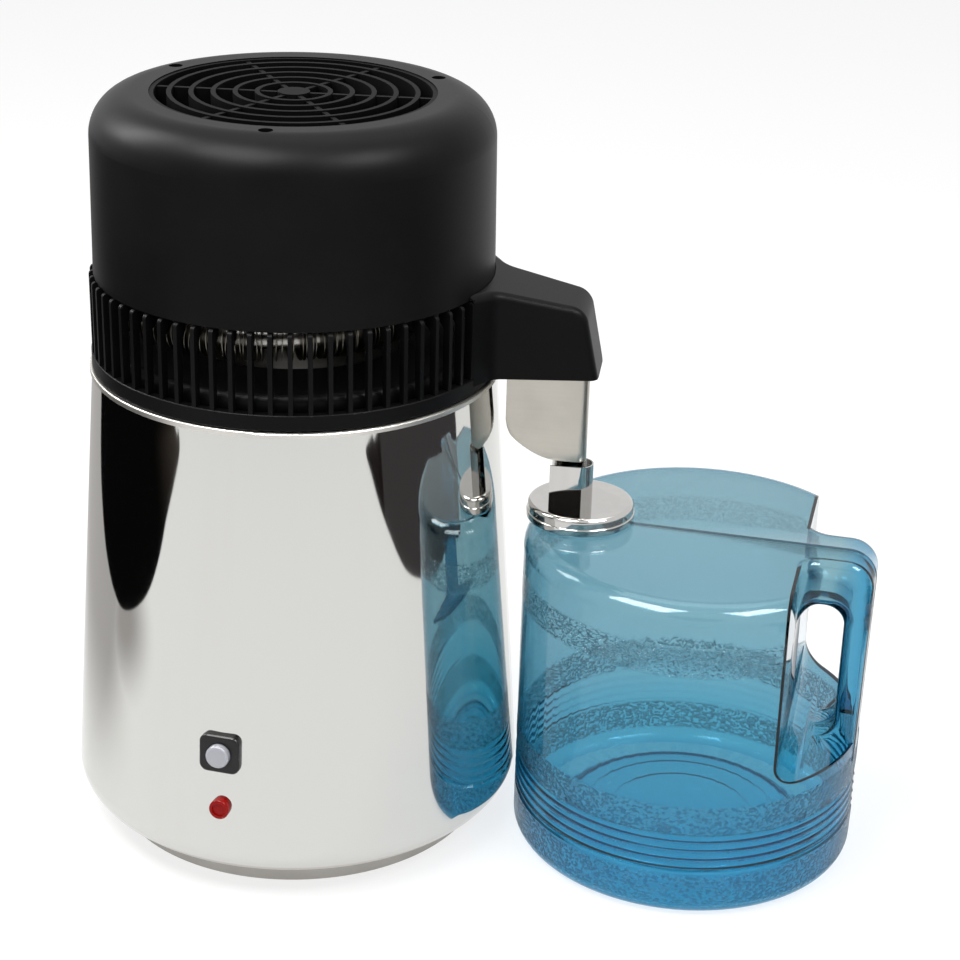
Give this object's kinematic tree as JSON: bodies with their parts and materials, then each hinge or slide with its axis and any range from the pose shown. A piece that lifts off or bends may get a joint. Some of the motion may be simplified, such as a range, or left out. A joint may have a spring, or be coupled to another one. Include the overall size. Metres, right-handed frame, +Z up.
{
  "type": "countertop water distiller",
  "caption": "Countertop water distiller: stainless boiling unit, black fan-cooled condenser head with a side spout, and a blue plastic jug with a steel cap.",
  "frame": {"origin": "on the boiling unit's vertical axis, at counter level under its rubber feet", "axes": "+Z up; +X along the spout arm from the boiling unit towards the jug; the control panel faces -Y"},
  "size_m": [0.4082, 0.2342, 0.3763],
  "materials": {
    "stainless_polished": "polished",
    "stainless_satin": "satin",
    "black_rubber": "matte",
    "zinc_steel": "satin",
    "aluminium_cast": "matte",
    "black_plastic": "satin",
    "black_gloss_plastic": "gloss",
    "grey_plastic": "satin",
    "red_lens": "gloss",
    "nickel_brass": "polished",
    "cream_ceramic": "matte",
    "silicone": "satin",
    "black_screws": "satin",
    "motor_iron": "satin",
    "copper_winding": "gloss",
    "aluminium_sheet": "satin",
    "aluminium_fins": "satin",
    "blue_plastic": "gloss"
  },
  "bodies": {
    "boiling_unit": {"outer_housing": "stainless_polished", "base_band": "stainless_satin", "base_pan": "stainless_satin", "rubber_feet": "black_rubber", "foot_screws": "zinc_steel", "boiling_tank": "stainless_satin", "tank_floor": "stainless_satin", "heater_plate": "aluminium_cast", "heating_element": "stainless_satin", "boil_thermostat": "black_plastic", "thermal_fuse": "zinc_steel", "button_bezel": "black_gloss_plastic", "button_spring": "zinc_steel", "reset_switch": "black_plastic", "indicator_lens": "red_lens", "indicator_lamp": "black_plastic", "mains_inlet": "black_plastic", "inlet_pins": "nickel_brass", "fan_outlet": "black_plastic", "terminal_block": "cream_ceramic"},
    "button": {"push_button": "grey_plastic"},
    "head": {"steam_lid": "stainless_satin", "lid_gasket": "silicone", "vent_ring": "black_plastic", "air_tray": "black_plastic", "dome_cover": "black_plastic", "head_screws": "black_screws", "fan_grille": "black_plastic", "motor_bracket": "zinc_steel", "motor_laminations": "motor_iron", "motor_winding": "copper_winding", "motor_screws": "zinc_steel", "lower_bearing_cap": "zinc_steel", "upper_bearing_cap": "zinc_steel", "condenser_coil": "stainless_satin", "coil_fins": "aluminium_fins", "drip_tube": "stainless_satin", "spout_arm": "black_plastic", "spout_blade": "stainless_satin", "fan_inlet": "black_plastic"},
    "fan": {"fan_shaft": "zinc_steel", "motor_rotor": "motor_iron", "fan_impeller": "aluminium_sheet", "fan_nut": "zinc_steel"},
    "jug": {"jug_body": "blue_plastic"},
    "jug_cap": {"cap_shell": "stainless_polished", "cap_plate": "stainless_polished", "cap_chimney": "stainless_polished", "cap_liner": "silicone"}
  },
  "joints": [
    {"name": "button_press", "type": "slide", "parent": "boiling_unit", "child": "button", "axis": [0.1319, 0.9887, -0.0717], "range_m": [0, 0.0025], "stiffness_N_per_m": 400, "springref_m": -0.001, "deforming": ["button_spring"]},
    {"name": "head_lift", "type": "slide", "parent": "boiling_unit", "child": "head", "axis": [0, 0, 1], "range_m": [0, 0.12]},
    {"name": "fan_spin", "type": "hinge", "parent": "head", "child": "fan", "pos_m": [0, 0, 0.33], "axis": [0, 0, 1], "continuous": true},
    {"name": "jug_slide", "type": "slide", "parent": "boiling_unit", "child": "jug", "axis": [0.9947, -0.1028, 0], "range_m": [0, 0.15]},
    {"name": "cap_lift", "type": "slide", "parent": "jug", "child": "jug_cap", "axis": [0, 0, 1], "range_m": [0, 0.02]}
  ]
}
